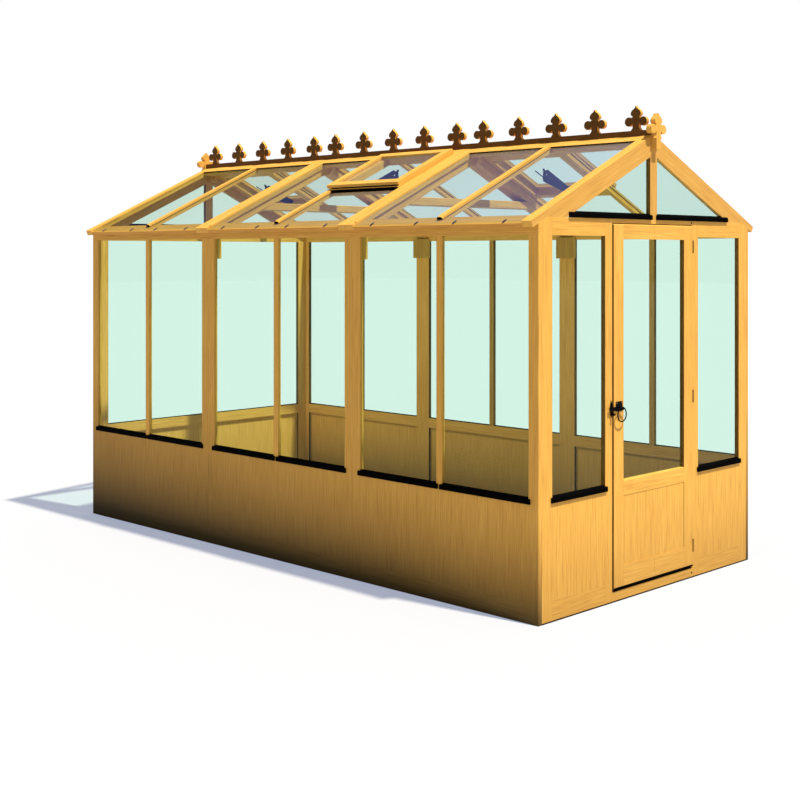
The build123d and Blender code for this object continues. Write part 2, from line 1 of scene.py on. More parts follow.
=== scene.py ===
# %% [markdown]
# # A timber greenhouse in studio light
#
# The solids of the house come in as a fixed frame, at their real size and place. This lesson gives
# each of them the finish of the real thing, adds the small fittings that show in the photograph,
# and sets up a camera and lights. Lengths are metres, as everywhere in Blender.

import math

import bpy
import numpy as np
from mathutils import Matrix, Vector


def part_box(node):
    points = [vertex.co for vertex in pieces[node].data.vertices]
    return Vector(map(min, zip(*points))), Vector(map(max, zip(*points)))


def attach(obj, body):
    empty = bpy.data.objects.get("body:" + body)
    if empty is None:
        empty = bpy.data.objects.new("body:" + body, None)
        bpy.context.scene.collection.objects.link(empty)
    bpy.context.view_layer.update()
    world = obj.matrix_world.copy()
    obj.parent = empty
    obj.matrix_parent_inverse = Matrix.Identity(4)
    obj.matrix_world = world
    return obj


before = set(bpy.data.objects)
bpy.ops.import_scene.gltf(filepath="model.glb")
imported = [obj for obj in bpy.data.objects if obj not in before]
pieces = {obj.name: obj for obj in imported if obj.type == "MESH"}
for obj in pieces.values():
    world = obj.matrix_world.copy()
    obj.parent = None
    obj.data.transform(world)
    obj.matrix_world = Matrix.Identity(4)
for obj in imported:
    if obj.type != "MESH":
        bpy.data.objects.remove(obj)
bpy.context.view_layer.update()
print(len(pieces), "pieces of the frame loaded")

# %% [markdown]
# ## Helpers
#
# Colours are picked as sRGB hex values, the way a colour chart gives them. Blender's shaders work in
# linear light, so one function turns a hex value into linear numbers. A second function adds a shader
# node, sets its sockets or options and links what feeds it, so that a material reads as a short list.

# %% Colour and shader helpers


def linear(hex_colour):
    """Turn an sRGB hex colour into linear RGBA: each channel follows the sRGB transfer curve."""
    channels = np.array([int(hex_colour[i:i + 2], 16) for i in (1, 3, 5)]) / 255
    values = np.where(channels <= 0.04045, channels / 12.92, ((channels + 0.055) / 1.055) ** 2.4)
    return (*values.tolist(), 1.0)


def add_node(tree, kind, settings=None, links=None):
    """Add one shader node, set its options or input sockets, and link its inputs to other outputs."""
    made = tree.nodes.new("ShaderNode" + kind)
    for key, value in (settings or {}).items():
        if isinstance(key, str) and hasattr(made, key):
            setattr(made, key, value)
        else:
            made.inputs[key].default_value = value
    for key, output in (links or {}).items():
        tree.links.new(output, made.inputs[key])
    return made


def ramp_stops(ramp_node, stops):
    """Give a colour ramp its stops: pairs of a place from 0 to 1 and an sRGB hex colour."""
    ramp = ramp_node.color_ramp
    while len(ramp.elements) < len(stops):
        ramp.elements.new(0.5)
    for element, (place, colour) in zip(ramp.elements, stops):
        element.position = place
        element.color = linear(colour)


def darkened(tree, share, colour, tone):
    """Multiply a colour by a darker tone, by a share from 0 to 1, and return the new colour."""
    settings = {"data_type": "RGBA", "blend_type": "MULTIPLY", 7: linear(tone)}
    return add_node(tree, "Mix", settings, {0: share, 6: colour}).outputs[2]


def new_material(name):
    """Make an empty node material and return it with its tree, its surface shader and its coordinates."""
    material = bpy.data.materials.new(name)
    material.use_nodes = True
    tree = material.node_tree
    surface = tree.nodes["Principled BSDF"]
    place = add_node(tree, "TexCoord").outputs["Object"]
    return material, tree, surface, place


# %% [markdown]
# ## Sizes of the house
#
# Some finishes and fittings follow the slopes of the roof, so the pitch, the apex and the eave are worked
# out first, from the top of the walls and the half widths of the house. EAVE is the distance down the
# slope from the apex to the lower edge of the roof.

# %% Roof sizes
PITCH = math.radians(24.9)
WALL_TOP, WALL_HALF, EAVE_HALF = 1.809, 0.91, 0.949
APEX = WALL_TOP + WALL_HALF * math.tan(PITCH)
EAVE = EAVE_HALF / math.cos(PITCH)
NEAR_END = -1.83
GLASS_TOP = 0.024
QUARTER = math.pi / 2
print("apex at", round(APEX, 3), "m, slopes", round(EAVE, 3), "m long")

# %% [markdown]
# ## Painted shade at the feet and ends of the walls
#
# The foot of a wall carries painted shade, most at the bottom, and a wall carries more painted shade
# towards the end that the light reaches least. A painted map would have to be made for each board. A share
# worked out from the place on the house runs on across the joints between boards, as on the real wall.

# %% Painted shade at the feet and ends
SHADE_REACH = 0.52
SHADE_LEAN = 0.015
SHADE_CURVE = 1.3
SHADE_TONE = "#5A6370"
SHADY_FROM, SHADY_TO = 0.5, 0.85
SHADY_LEFT = 0.2


def painted_foot_shade(tree, place, colour, foot_shade):
    """Paint shade on a board towards the ground, by foot_shade * (1 - height / reach)^1.3, leaning a little
    along it.
    """
    lean = add_node(tree, "VectorMath", {"operation": "DOT_PRODUCT", 1: (0.0, -SHADE_LEAN, 1.0)}, {0: place})
    foot = -SHADE_LEAN * NEAR_END
    rise = add_node(tree, "MapRange", {"From Min": foot, "From Max": foot + SHADE_REACH, "To Min": 1.0,
                                       "To Max": 0.0}, {"Value": lean.outputs["Value"]}).outputs["Result"]
    curved = add_node(tree, "Math", {"operation": "POWER", 1: SHADE_CURVE}, {0: rise}).outputs[0]
    share = add_node(tree, "Math", {"operation": "MULTIPLY", 1: foot_shade}, {0: curved}).outputs[0]
    return darkened(tree, share, colour, SHADE_TONE)


def shady_end(tree, place, colour, shady):
    """Paint shade on a board towards the far end, or towards the near end where shady is negative.

    The share grows evenly along the house, from 0 to the absolute value of shady, and fades with height.
    """
    parts = add_node(tree, "SeparateXYZ", links={"Vector": place}).outputs
    start = math.copysign(NEAR_END, -shady)
    away = add_node(tree, "MapRange", {"From Min": start, "From Max": -start, "To Max": abs(shady)},
                    {"Value": parts["Y"]}).outputs["Result"]
    fade = add_node(tree, "MapRange", {"From Min": SHADY_FROM, "From Max": SHADY_TO, "To Min": 1.0,
                                       "To Max": SHADY_LEFT}, {"Value": parts["Z"]}).outputs["Result"]
    share = add_node(tree, "Math", {"operation": "MULTIPLY"}, {0: away, 1: fade}).outputs[0]
    return darkened(tree, share, colour, SHADE_TONE)


# %% [markdown]
# ## Painted shade on single faces, and a dark band at the foot
#
# The rebates and reveals that hold the glass carry painted shade, a dark edge beside each pane. The
# cresting carries painted shade on its two broad faces, and the gables have a narrow, nearly black band
# at the foot. A second material on single faces would change the frame's meshes, which are left alone. A
# face lies at an exact place, so a comparison with that place picks it.

# %% Faces picked by their place
FACE_SLACK = 0.0004
# Tones of painted shade in the rebates and in the reveals beside the panes.
REBATE_SHADE_TONE = "#938A80"
REVEAL_SHADE_TONE = "#7C7468"
# Painted shade on the two broad faces of the cresting.
BROAD_FACE_FROM, BROAD_FACE_FULL = 0.0092, 0.0098
BROAD_FACE_SHADE_TONE = "#746855"
FOOT_BAND = 0.007
FOOT_TONE = "#1A1816"


def rebate_shade(tree, place, colour, halves):
    """Paint shade on the faces whose absolute value of x equals one of the given half widths."""
    across = add_node(tree, "SeparateXYZ", links={"Vector": place}).outputs["X"]
    depth = add_node(tree, "Math", {"operation": "ABSOLUTE"}, {0: across}).outputs[0]
    for half in halves:
        shaded = add_node(tree, "Math", {"operation": "COMPARE", 1: half, 2: FACE_SLACK}, {0: depth})
        colour = darkened(tree, shaded.outputs[0], colour, REBATE_SHADE_TONE)
    return colour


def reveal_shade(tree, place, colour, halves):
    """Paint shade on the faces on the right of the house whose absolute value of y equals a given length.
    """
    parts = add_node(tree, "SeparateXYZ", links={"Vector": place}).outputs
    depth = add_node(tree, "Math", {"operation": "ABSOLUTE"}, {0: parts["Y"]}).outputs[0]
    right = add_node(tree, "Math", {"operation": "GREATER_THAN", 1: 0.0}, {0: parts["X"]}).outputs[0]
    for half in halves:
        side = add_node(tree, "Math", {"operation": "COMPARE", 1: half, 2: FACE_SLACK}, {0: depth})
        shaded = add_node(tree, "Math", {"operation": "MULTIPLY"}, {0: side.outputs[0], 1: right})
        colour = darkened(tree, shaded.outputs[0], colour, REVEAL_SHADE_TONE)
    return colour


def shaded_broad_faces(tree, place, colour):
    """Paint shade on a thin board where the absolute value of x nears half of the board's thickness."""
    across = add_node(tree, "SeparateXYZ", links={"Vector": place}).outputs["X"]
    depth = add_node(tree, "Math", {"operation": "ABSOLUTE"}, {0: across}).outputs[0]
    face = add_node(tree, "MapRange", {"From Min": BROAD_FACE_FROM, "From Max": BROAD_FACE_FULL}, {"Value": depth})
    return darkened(tree, face.outputs["Result"], colour, BROAD_FACE_SHADE_TONE)


def dark_foot_band(tree, place, colour):
    """Darken the band that lies below FOOT_BAND to nearly black."""
    height = add_node(tree, "SeparateXYZ", links={"Vector": place}).outputs["Z"]
    band = add_node(tree, "Math", {"operation": "LESS_THAN", 1: FOOT_BAND}, {0: height}).outputs[0]
    return darkened(tree, band, colour, FOOT_TONE)


# %% [markdown]
# ## Painted shade on the eave and ridge, and the barge's tone
#
# The eave rail carries painted shade, the shade of the glass that laps over it, and a second, cooler
# painted shade everywhere but on its outer end. A strip of the ridge rail above the glass carries dark
# painted shade. The outer face of an end rafter, the barge, is a deeper tone. The distance down the slope
# picks the first three, by a dot product with the slope's own direction, so the same numbers serve both
# slopes.

# %% Eave, ridge and barge
# Painted shade on the eave rail, from the glass that laps over it, and on the ridge rail above the glass.
EAVE_WIDTH = 0.092
EAVE_SHADE_TONE = "#E9DDD5"
LAP_EDGE = 0.0005
LAP_SHADE_TONE = "#E6F3F2"
RIDGE_WIDTH = 0.065
RIDGE_SHADE_TONE = "#4A4238"
BARGE_FACE = 1.8295
BARGE_TONE = "#F0EFFF"
DOWN = (math.cos(PITCH), 0.0, -math.sin(PITCH))
OUT = (math.sin(PITCH), 0.0, math.cos(PITCH))


def lapped_edges(tree, place, colour):
    """Paint shade on the eave rail and on the lower edge of the ridge rail.

    Down is the dot product of the point, mirrored to one side, with the slope's direction, counted from
    the apex, and lift is the dot product with the direction out of the slope.
    """
    both = add_node(tree, "VectorMath", {"operation": "ABSOLUTE"}, {0: place}).outputs[0]
    level = add_node(tree, "VectorMath", {"operation": "DOT_PRODUCT", 1: DOWN}, {0: both}).outputs["Value"]
    down = add_node(tree, "Math", {"operation": "ADD", 1: APEX * math.sin(PITCH)}, {0: level}).outputs[0]
    lift = add_node(tree, "VectorMath", {"operation": "DOT_PRODUCT", 1: OUT}, {0: both}).outputs["Value"]
    eave = add_node(tree, "Math", {"operation": "GREATER_THAN", 1: EAVE - EAVE_WIDTH - LAP_EDGE}, {0: down})
    colour = darkened(tree, eave.outputs[0], colour, EAVE_SHADE_TONE)
    middle = EAVE - EAVE_WIDTH / 2 - LAP_EDGE
    top = add_node(tree, "Math", {"operation": "COMPARE", 1: middle, 2: EAVE_WIDTH / 2}, {0: down})
    colour = darkened(tree, top.outputs[0], colour, LAP_SHADE_TONE)
    edge = add_node(tree, "Math", {"operation": "COMPARE", 1: RIDGE_WIDTH, 2: LAP_EDGE}, {0: down})
    above_glass = GLASS_TOP + APEX * math.cos(PITCH)
    bare = add_node(tree, "Math", {"operation": "GREATER_THAN", 1: above_glass}, {0: lift})
    strip = add_node(tree, "Math", {"operation": "MULTIPLY"}, {0: edge.outputs[0], 1: bare.outputs[0]})
    return darkened(tree, strip.outputs[0], colour, RIDGE_SHADE_TONE)


def barge_face(tree, place, colour):
    """Darken the outer face of an end rafter, where the absolute value of y is largest."""
    along = add_node(tree, "SeparateXYZ", links={"Vector": place}).outputs["Y"]
    face = add_node(tree, "Math", {"operation": "COMPARE", 1: BARGE_FACE, 2: LAP_EDGE}, {0: along})
    return darkened(tree, face.outputs[0], colour, BARGE_TONE)


# %% [markdown]
# ## Oiled softwood
#
# The frame is planed softwood under a honey coloured oil. Its streaks run along each board, so every
# board needs the pattern turned to its own length. A Mapping node turns the pattern and squeezes it
# across the grain. The two roof slopes mirror each other, so their pattern reads the absolute value of
# the coordinates, and one material serves both. The painted shade, the dark foot band and the barge's tone
# above come on top.

# %% Softwood along any direction
# The oil gives a broad, weak sheen. Real fibres are under a millimetre wide, too fine to show, so they are
# drawn coarser here, beside the wider streaks of the year rings.
STREAK_MM, FIBRE_MM, FLECK_MM = 10, 5, 4
ALONG_TIMES = 34
BOARDS_PER_METRE = 2.2
FIBRE_SHARE, BOARD_SHARE = 0.6, 0.15
FLECK_FROM, FLECK_FULL, FLECK_MOST = 0.66, 0.8, 0.3
FLECK_TONE = "#B98A52"
HONEY = [(0.3, "#BD893D"), (0.44, "#D49D45"), (0.55, "#DDA64A"), (0.7, "#E8B65C")]
DEEP_HONEY = [(0.3, "#B3813D"), (0.44, "#C89445"), (0.55, "#D19C4A"), (0.7, "#DBAB5C")]
SMOOTHEST, ROUGHEST = 0.45, 0.62
OIL_SPECULAR = 0.12
GRAIN_RELIEF = {"Strength": 0.25, "Distance": 0.001}


def softwood(name, turn=(0.0, 0.0, 0.0), mirrored=False, tones=HONEY, foot_shade=0.0, shady=0.0, shaded_faces=False,
             rebates=(), reveals=(), dark_foot=False, lapped=False, barge=False):
    """Oiled softwood whose grain runs along Z before the pattern is turned.

    Two noises, squeezed across the grain and stretched along it, give broad streaks and fine fibres,
    and a slow noise lets neighbouring boards differ. Their mix picks a tone from a ramp, and a third
    noise, cut off high, leaves short dark flecks. Each painted shade, the dark foot band and the barge's
    tone then darken their own share.
    """
    material, tree, surface, place = new_material(name)
    if mirrored:
        place = add_node(tree, "VectorMath", {"operation": "ABSOLUTE"}, {0: place}).outputs[0]
    turned = add_node(tree, "Mapping", {"Rotation": turn}, {"Vector": place}).outputs["Vector"]
    squeeze = (1.0, 1.0, 1.0 / ALONG_TIMES)
    grain = add_node(tree, "Mapping", {"Scale": squeeze}, {"Vector": turned}).outputs["Vector"]
    streaks = add_node(tree, "TexNoise", {"Scale": 1000 / STREAK_MM, "Detail": 4.0, "Distortion": 0.5},
                       {"Vector": grain}).outputs["Fac"]
    fibres = add_node(tree, "TexNoise", {"Scale": 1000 / FIBRE_MM, "Detail": 3.0},
                      {"Vector": grain}).outputs["Fac"]
    flecks = add_node(tree, "TexNoise", {"Scale": 1000 / FLECK_MM, "Detail": 0.0},
                      {"Vector": grain}).outputs["Fac"]
    boards = add_node(tree, "TexNoise", {"Scale": BOARDS_PER_METRE, "Detail": 1.0},
                      {"Vector": turned}).outputs["Fac"]
    figure = add_node(tree, "Mix", {"Factor": FIBRE_SHARE}, {2: streaks, 3: fibres}).outputs[0]
    blend = add_node(tree, "Mix", {"Factor": BOARD_SHARE}, {2: figure, 3: boards}).outputs[0]
    tone = add_node(tree, "ValToRGB", links={"Fac": blend})
    ramp_stops(tone, tones)
    fleck = add_node(tree, "MapRange", {"From Min": FLECK_FROM, "From Max": FLECK_FULL,
                                        "To Max": FLECK_MOST}, {"Value": flecks}).outputs["Result"]
    colour = darkened(tree, fleck, tone.outputs["Color"], FLECK_TONE)
    if foot_shade:
        colour = painted_foot_shade(tree, place, colour, foot_shade)
    if shady:
        colour = shady_end(tree, place, colour, shady)
    if shaded_faces:
        colour = shaded_broad_faces(tree, place, colour)
    if rebates:
        colour = rebate_shade(tree, place, colour, rebates)
    if reveals:
        colour = reveal_shade(tree, place, colour, reveals)
    if dark_foot:
        colour = dark_foot_band(tree, place, colour)
    if lapped:
        colour = lapped_edges(tree, place, colour)
    if barge:
        colour = barge_face(tree, place, colour)
    rough = add_node(tree, "MapRange", {"To Min": SMOOTHEST, "To Max": ROUGHEST}, {"Value": fibres})
    bump = add_node(tree, "Bump", GRAIN_RELIEF, {"Height": figure})
    surface.inputs["Specular IOR Level"].default_value = OIL_SPECULAR
    tree.links.new(colour, surface.inputs["Base Color"])
    tree.links.new(rough.outputs["Result"], surface.inputs["Roughness"])
    tree.links.new(bump.outputs["Normal"], surface.inputs["Normal"])
    return material


# %% [markdown]
# ## Fourteen cuts of the same wood
#
# The posts stand upright, the wall rails run along the house, the gable rails cross it and the roof
# timbers follow their slope. The long walls carry painted shade near the ground, the left one more
# towards its far end and the right one towards its near end. The gables carry less of it and have a dark
# band at the foot. The gable rafters and king posts have a deeper oil, the cresting carries painted shade
# on its broad faces, the panes have painted shade beside them, and the eave rails painted shade from the
# glass. One function with a few choices makes them all, so they stay the same wood.

# %% The cuts
ALONG_HOUSE = (QUARTER, 0.0, 0.0)
ACROSS_HOUSE = (0.0, QUARTER, 0.0)
UP_SLOPE = (0.0, QUARTER - PITCH, 0.0)
# Shares of painted shade: at the foot of the gables and of the long walls, then along the left and right
# walls.
GABLE_FOOT_SHADE, WALL_FOOT_SHADE = 0.34, 1.0
LEFT_SHADE, RIGHT_SHADE = 0.42, -0.5
# Half widths across the gable, for painted shade in the rebates: the door's pane, the door, both edges
# of a side pane, and the king posts.
GABLE_REBATES = (0.265, 0.345, 0.406, 0.811)
KING_REBATES = (0.03,)
# Places along the house, counted from its middle, for painted shade in the reveals: the sides of the
# glazing bars and of the posts.
BAR_REVEALS = (0.018, 1.202, 1.238)
POST_REVEALS = (0.5525, 0.6675, 1.7725)
upright_wood = softwood("oiled softwood upright grain", foot_shade=GABLE_FOOT_SHADE)
post_wood = softwood("oiled softwood upright grain shaded rebates", foot_shade=GABLE_FOOT_SHADE,
                     rebates=GABLE_REBATES, dark_foot=True)
cross_wood = softwood("oiled softwood across the gable", ACROSS_HOUSE, foot_shade=GABLE_FOOT_SHADE, dark_foot=True)
long_wood = softwood("oiled softwood along the house", ALONG_HOUSE)
slope_wood = softwood("oiled softwood up the slopes", UP_SLOPE, mirrored=True, barge=True)
bar_wood = softwood("oiled softwood glazing bars", reveals=BAR_REVEALS)
shaded_right_upright_wood = softwood("oiled softwood upright grain painted shade at foot", foot_shade=WALL_FOOT_SHADE, shady=RIGHT_SHADE,
                             reveals=POST_REVEALS)
shaded_right_long_wood = softwood("oiled softwood along the house painted shade at foot", ALONG_HOUSE, foot_shade=WALL_FOOT_SHADE,
                          shady=RIGHT_SHADE)
shady_upright_wood = softwood("oiled softwood upright grain shady wall", foot_shade=WALL_FOOT_SHADE, shady=LEFT_SHADE)
shady_long_wood = softwood("oiled softwood along the house shady wall", ALONG_HOUSE, foot_shade=WALL_FOOT_SHADE,
                           shady=LEFT_SHADE)
gable_wood = softwood("oiled softwood gable rafters", UP_SLOPE, mirrored=True, tones=DEEP_HONEY)
king_wood = softwood("oiled softwood king posts", tones=DEEP_HONEY, rebates=KING_REBATES)
eave_wood = softwood("oiled softwood along the eaves", ALONG_HOUSE, lapped=True)
# The cresting carries painted shade on its two broad faces.
crest_wood = softwood("oiled softwood cresting with shaded faces", ALONG_HOUSE, shaded_faces=True)
print("softwood in fourteen cuts")

# %% [markdown]
# ## Glass
#
# Horticultural glass lets nearly all light through with a faint tint, and mirrors a little more as it is
# seen edge on. A Transparent shader gives the tint and lets the sun in, a Glossy shader gives the
# mirror, and the angle of view mixes them. A Fresnel node would take the inner face of a pane for the
# way out of a solid block of glass and turn it into a full mirror. Layer Weight's Facing is the same on
# both faces, so the mix starts from that. On the roof a little pale violet Diffuse shader adds a painted
# reflection of the sky, a veil that is strongest at the near end. A ray on its way to the sun meets a
# Transparent shader of its own, so the light on the floor can be tinted without a change to what is
# seen through the pane.

# %% Panes
# Sheet glass is drawn and not polished, so it gives the eye clean mirrors with slow, shallow waves.
# Pale violet of the painted sky reflection on the roof glass.
SKY_VEIL_TONE = "#A0A4F8"
FAR_TINT = "#EEF4EE"
NO_LIGHT = "#000000"
WAVES_PER_METRE = 3.0
WAVE_RELIEF = {"Strength": 0.04, "Distance": 0.002}
PANE_ROUGHNESS = 0.02
MIRROR_CURVE = 5.0


def pane_glass(name, tint, shade, mirror, least, most, sky_veil=0.0):
    """Thin glass: a clear tint, with a mirror share that grows from least to most, by (1 - cosine)^5.

    The shade is the tint of the light that falls through the pane, less what meets it edge on and is
    mirrored away. The sky veil is the share of a painted reflection of the sky, a pale violet Diffuse
    shader. It fades from the near end of the house to the far end, where the glass is greener.
    """
    material, tree, surface, place = new_material(name)
    waves = add_node(tree, "TexNoise", {"Scale": WAVES_PER_METRE, "Detail": 1.0}, {"Vector": place})
    bump = add_node(tree, "Bump", WAVE_RELIEF, {"Height": waves.outputs["Fac"]})
    clear = add_node(tree, "BsdfTransparent", {"Color": linear(tint)})
    gloss = add_node(tree, "BsdfGlossy", {"Color": linear(mirror), "Roughness": PANE_ROUGHNESS},
                     {"Normal": bump.outputs["Normal"]})
    facing = add_node(tree, "LayerWeight", {"Blend": 0.5}).outputs["Facing"]
    steep = add_node(tree, "Math", {"operation": "POWER", 1: MIRROR_CURVE}, {0: facing}).outputs[0]
    share = add_node(tree, "MapRange", {"To Min": least, "To Max": most}, {"Value": steep})
    mixed = add_node(tree, "MixShader", links={0: share.outputs["Result"], 1: clear.outputs[0],
                                               2: gloss.outputs[0]})
    if sky_veil:
        along = add_node(tree, "SeparateXYZ", links={"Vector": place}).outputs["Y"]
        ends = {"From Min": NEAR_END, "From Max": -NEAR_END}
        far = add_node(tree, "MapRange", ends, {"Value": along}).outputs["Result"]
        tints = {"data_type": "RGBA", 6: linear(tint), 7: linear(FAR_TINT)}
        greener = add_node(tree, "Mix", tints, {0: far})
        tree.links.new(greener.outputs[2], clear.inputs["Color"])
        veil_share = add_node(tree, "MapRange", {**ends, "To Min": sky_veil, "To Max": 0.0}, {"Value": along})
        veil = add_node(tree, "BsdfDiffuse", {"Color": linear(SKY_VEIL_TONE)})
        mixed = add_node(tree, "MixShader", links={0: veil_share.outputs["Result"], 1: mixed.outputs[0],
                                                   2: veil.outputs[0]})
    passed = add_node(tree, "Mix", {"data_type": "RGBA", 6: linear(shade), 7: linear(NO_LIGHT)}, {0: steep})
    fallen = add_node(tree, "BsdfTransparent", links={"Color": passed.outputs[2]})
    falling = add_node(tree, "LightPath").outputs["Is Shadow Ray"]
    whole = add_node(tree, "MixShader", links={0: falling, 1: mixed.outputs[0], 2: fallen.outputs[0]})
    tree.links.new(whole.outputs[0], tree.nodes["Material Output"].inputs["Surface"])
    tree.nodes.remove(surface)
    return material


wall_glass = pane_glass("horticultural glass mint", tint="#F3FCF8", shade="#F4FBFA", mirror="#E8FFF4",
                        least=0.006, most=0.5)
roof_glass = pane_glass("horticultural glass sky", tint="#F1F9F5", shade="#F6FDFB", mirror="#6480FF",
                        least=0.012, most=0.05, sky_veil=0.05)
print("two kinds of glass made")

# %% [markdown]
# ## Sills and ironwork
#
# The sills, and the black strips, beads and aprons that stand as painted shade under the door and the
# vents, are black plastic, the latch is black painted iron, the vent stays and glass clips are navy enamel
# on pressed steel, and the hinges are zinc plated steel that picks up the colour of the wood.
# All are dense and nearly even, so one function serves: a fine noise picks between two close tones.

# %% Black plastic, iron, enamel and zinc
# Extruded plastic is matt, brushed paint has a soft sheen, enamel a sharper one, and zinc a dull glint.
DARK_STOP, LIGHT_STOP = 0.35, 0.7
FINE_RELIEF = {"Strength": 0.2, "Distance": 0.0005}


def grained(name, colour, lighter, grain_mm, roughness, metallic, specular):
    """A dense finish with a fine grain: a noise picks between two tones and gives a slight relief."""
    material, tree, surface, place = new_material(name)
    grain = add_node(tree, "TexNoise", {"Scale": 1000 / grain_mm / 2, "Detail": 3.0}, {"Vector": place})
    tone = add_node(tree, "ValToRGB", links={"Fac": grain.outputs["Fac"]})
    ramp_stops(tone, [(DARK_STOP, colour), (LIGHT_STOP, lighter)])
    bump = add_node(tree, "Bump", FINE_RELIEF, {"Height": grain.outputs["Fac"]})
    surface.inputs["Roughness"].default_value = roughness
    surface.inputs["Metallic"].default_value = metallic
    surface.inputs["Specular IOR Level"].default_value = specular
    tree.links.new(tone.outputs["Color"], surface.inputs["Base Color"])
    tree.links.new(bump.outputs["Normal"], surface.inputs["Normal"])
    return material


black_plastic = grained("extruded plastic matt black", "#000000", "#030303", grain_mm=6, roughness=0.75,
                        metallic=0.0, specular=0.02)
black_iron = grained("wrought iron black paint", "#010101", "#040405", grain_mm=5, roughness=0.55,
                     metallic=0.0, specular=0.05)
navy_steel = grained("pressed steel navy enamel", "#161A33", "#222848", grain_mm=5, roughness=0.4,
                     metallic=0.0, specular=0.2)
zinc = grained("steel zinc plated", "#8A6A38", "#B58C4C", grain_mm=4, roughness=0.45,
               metallic=1.0, specular=0.5)
print("plastic, iron, enamel and zinc made")

# %% [markdown]
# ## Finish each piece
#
# Every piece of the frame gets the material whose grain runs along it: posts stand upright, wall rails
# run along the house, gable rails cross it and rafters follow their slope. The frame's own meshes keep
# their shape, and only their material slot changes.

# %% Dress the frame
FINISHES = {
    upright_wood: ["front_panels", "back_panels", "door_panel", "wall_joint_blocks", "end_finials"],
    bar_wood: ["side_wall_bars"],
    post_wood: ["front_posts", "back_posts", "door_stiles"],
    king_wood: ["king_posts"],
    gable_wood: ["gable_rafters"],
    shaded_right_upright_wood: ["right_wall_posts", "right_wall_panels"],
    shaded_right_long_wood: ["right_wall_rails"],
    shady_upright_wood: ["left_wall_posts", "left_wall_panels"],
    shady_long_wood: ["left_wall_rails"],
    long_wood: ["ridge_blocks"],
    eave_wood: ["left_roof_rails", "right_roof_rails"],
    cross_wood: ["front_rails", "back_rails", "door_rails"],
    slope_wood: ["left_roof_rafters", "right_roof_rafters", "left_roof_bars", "right_roof_bars",
                 "roof_vent_curbs", "roof_vent_sashes"],
    crest_wood: ["ridge_cresting"],
    wall_glass: ["left_wall_glass", "right_wall_glass", "front_glass", "back_glass", "door_glass"],
    roof_glass: ["left_roof_glass", "right_roof_glass", "roof_vent_glass"],
    black_plastic: ["side_wall_sills", "gable_sills"],
    black_iron: ["latch_plate", "latch_handle", "latch_keep"],
    navy_steel: ["roof_vent_stays"],
    zinc: ["hinge_frame_leaves", "hinge_door_leaves"],
}
for material, names in FINISHES.items():
    for name in names:
        mesh = pieces[name].data
        mesh.materials.clear()
        mesh.materials.append(material)
print(sum(len(names) for names in FINISHES.values()), "pieces dressed")

# %% [markdown]
# ## Small fittings
#
# Screws, glass clips and the end caps of the glazing bars are too small for the frame, but they show in
# the photograph. Each is worked out once, as a grid of points in a frame of its own: x and y along the
# surface that carries it, z out of that surface. Whole arrays then turn and move the copies to their
# places. A modelled copy per place would be slower to change, and an array modifier could not follow
# the two slopes.

# %% Copies of one shape
SHARP_ANGLE = math.radians(35)


def copies(local, origins, frames):
    """Place one shape many times: each point is its origin plus x, y and z times that copy's own axes."""
    return np.einsum("mi,kij->kmj", local, frames) + origins[:, None, :]


def add_fitting(name, local, faces, origins, frames, finish, body):
    """Make one mesh of all the copies of a shape, dress it, and let it ride on a body of the frame."""
    points = copies(local, np.array(origins, float), np.array(frames, float))
    count, size = points.shape[:2]
    every = [[index + copy * size for index in face] for copy in range(count) for face in faces]
    mesh = bpy.data.meshes.new(name)
    mesh.from_pydata(points.reshape(-1, 3).tolist(), [], every)
    mesh.shade_smooth()
    mesh.set_sharp_from_angle(angle=SHARP_ANGLE)
    mesh.materials.append(finish)
    made = bpy.data.objects.new(name, mesh)
    bpy.context.scene.collection.objects.link(made)
    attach(made, body)
    print(name, count, "copies of", len(faces), "faces")


def around(rings, columns):
    """Faces of a turned shape: a fan at each pole and quads between the rings, all facing outwards."""
    j = np.arange(columns)
    after = (j + 1) % columns
    low = 1 + np.arange(rings - 1)[:, None] * columns
    quads = np.stack([low + j, low + after, low + after + columns, low + j + columns], axis=-1)
    foot = np.stack([np.zeros_like(j), 1 + after, 1 + j], axis=-1)
    last = 1 + (rings - 1) * columns
    crown = np.stack([last + j, last + after, np.full_like(j, last + columns)], axis=-1)
    return foot.tolist() + quads.reshape(-1, 4).tolist() + crown.tolist()


def along_faces(steps, corners):
    """Faces of a section carried along a path: quads between the steps and a cap at each end."""
    j = np.arange(corners)
    after = (j + 1) % corners
    low = np.arange(steps - 1)[:, None] * corners
    quads = np.stack([low + j, low + after, low + after + corners, low + j + corners], axis=-1)
    last = (steps - 1) * corners
    return quads.reshape(-1, 4).tolist() + [j[::-1].tolist(), (last + j).tolist()]


# %% [markdown]
# ## Screw heads
#
# A screw head is a low dome with a slot. Its grid has two parameters, a climb from the rim to the crown
# and a turn round the axis. The dome is a quarter of an ellipse, and the points that lie within half of
# the slot's width are let down by its depth, so the slot is in the shape and not only in the shading.

# %% Screws in the timber and in the latch
SCREW_RINGS, SCREW_COLUMNS = 8, 28
SCREW_CLIMB = np.linspace(0.0, QUARTER, SCREW_RINGS, endpoint=False)
SLOT_WIDTH_SHARE, SLOT_REACH_SHARE, SLOT_DEPTH_SHARE = 0.2, 0.85, 0.4
CROWN_SHARE = 0.6


